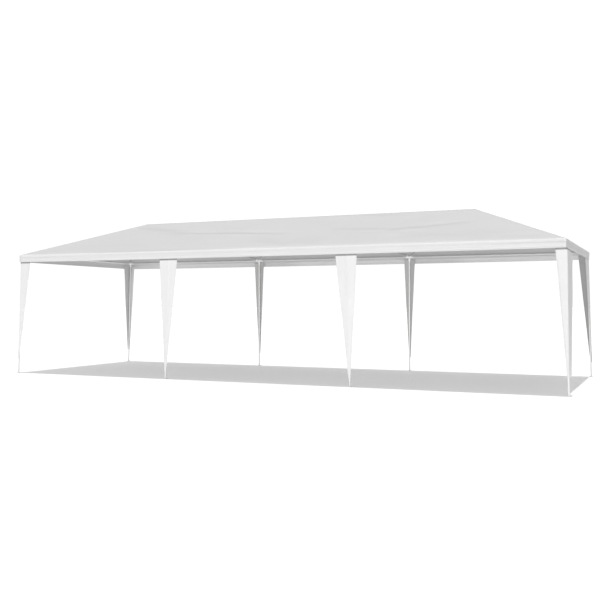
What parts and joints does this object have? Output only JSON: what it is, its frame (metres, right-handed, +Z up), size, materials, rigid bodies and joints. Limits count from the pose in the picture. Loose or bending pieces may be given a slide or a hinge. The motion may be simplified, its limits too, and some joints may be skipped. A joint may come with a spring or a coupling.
{
  "type": "marquee tent",
  "caption": "Open-sided party marquee with a white hipped fabric roof, straight valance and tapered leg strips on a light steel frame.",
  "frame": {"origin": "on the ground under the middle of the tent", "axes": "+X along the length (right in the picture), +Y to the back, +Z up"},
  "size_m": [9.164, 3.24, 2.64],
  "materials": {
    "steel": "satin white powder coat",
    "fitting": "satin moulded",
    "cover_fabric": "coated woven polyethylene",
    "strip_fabric": "coated woven polyethylene"
  },
  "bodies": {
    "root": {"eave_tube_back_left": "steel", "eave_tube_back_middle": "steel", "eave_tube_back_right": "steel", "eave_tube_front_left": "steel", "eave_tube_front_middle": "steel", "eave_tube_front_right": "steel", "eave_tube_left_end": "steel", "eave_tube_right_end": "steel", "leg_back_left": "steel", "leg_back_left_middle": "steel", "leg_back_right": "steel", "leg_back_right_middle": "steel", "leg_front_left": "steel", "leg_front_left_middle": "steel", "leg_front_right": "steel", "leg_front_right_middle": "steel", "leg_head_back_left": "fitting", "leg_head_back_left_middle": "fitting", "leg_head_back_right": "fitting", "leg_head_back_right_middle": "fitting", "leg_head_front_left": "fitting", "leg_head_front_left_middle": "fitting", "leg_head_front_right": "fitting", "leg_head_front_right_middle": "fitting", "leg_strip_back_left": "strip_fabric", "leg_strip_back_left_middle": "strip_fabric", "leg_strip_back_right": "strip_fabric", "leg_strip_back_right_middle": "strip_fabric", "leg_strip_front_left": "strip_fabric", "leg_strip_front_left_middle": "strip_fabric", "leg_strip_front_right": "strip_fabric", "leg_strip_front_right_middle": "strip_fabric", "rafter_back_left_bay_left": "steel", "rafter_back_left_bay_right": "steel", "rafter_back_middle_bay_left": "steel", "rafter_back_middle_bay_right": "steel", "rafter_back_right_bay_left": "steel", "rafter_back_right_bay_right": "steel", "rafter_front_left_bay_left": "steel", "rafter_front_left_bay_right": "steel", "rafter_front_middle_bay_left": "steel", "rafter_front_middle_bay_right": "steel", "rafter_front_right_bay_left": "steel", "rafter_front_right_bay_right": "steel", "ridge_hub_left": "fitting", "ridge_hub_middle": "fitting", "ridge_hub_right": "fitting", "ridge_tube_left": "steel", "ridge_tube_right": "steel", "roof_cover": "cover_fabric"}
  },
  "joints": []
}
